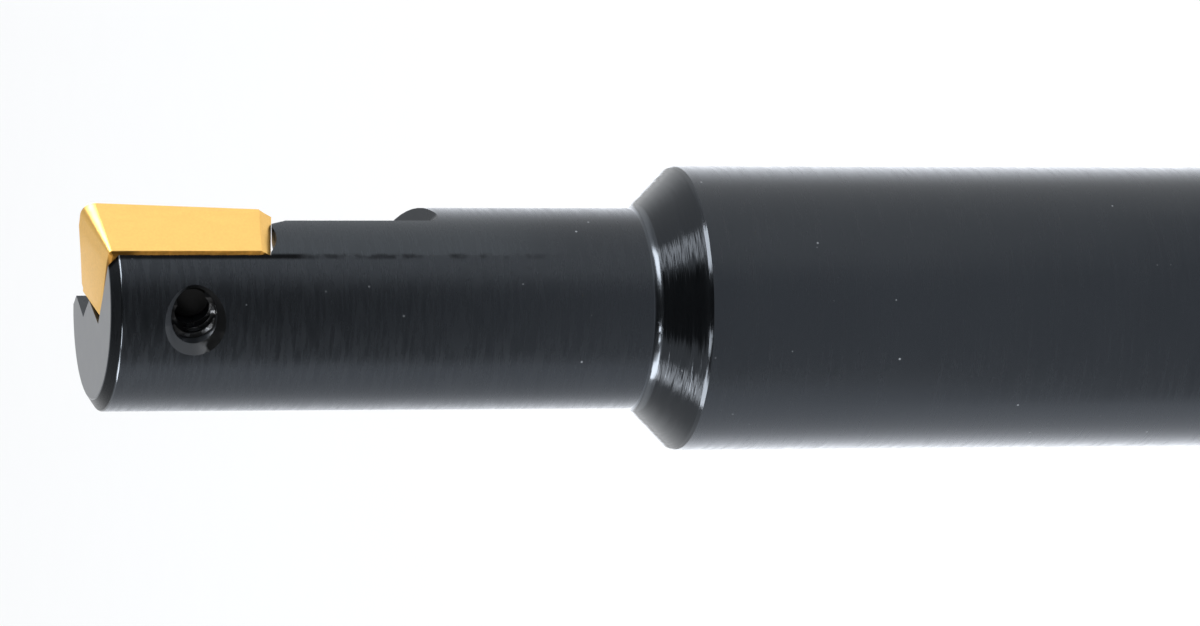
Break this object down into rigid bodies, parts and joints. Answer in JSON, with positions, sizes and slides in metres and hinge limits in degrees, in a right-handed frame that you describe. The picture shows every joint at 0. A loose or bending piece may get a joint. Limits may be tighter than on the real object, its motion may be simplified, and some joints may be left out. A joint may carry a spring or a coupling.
{
  "type": "indexable end mill",
  "caption": "Stepped round holder with a cylindrical shank, a clamping flat and a slimmer neck, holding a screwed-on parallelogram cutting insert beside its chip gullet.",
  "frame": {"origin": "centre of the shank's end face, on the tool's axis", "axes": "+Z along the tool's axis from the shank to the nose; +X outwards along the insert's seat; +Y out of the rake side, which the clamping flat also faces"},
  "size_m": [0.0158, 0.0158, 0.0825],
  "materials": {
    "black_oxide_steel": "turned steel with a satin black oxide finish",
    "gold_coated_carbide": "ground cemented carbide with a satin gold nitride coating",
    "black_screw_steel": "hardened screw steel, blackened"
  },
  "bodies": {
    "root": {"holder": "black_oxide_steel", "insert": "gold_coated_carbide", "clamp_screw": "black_screw_steel"}
  },
  "joints": []
}
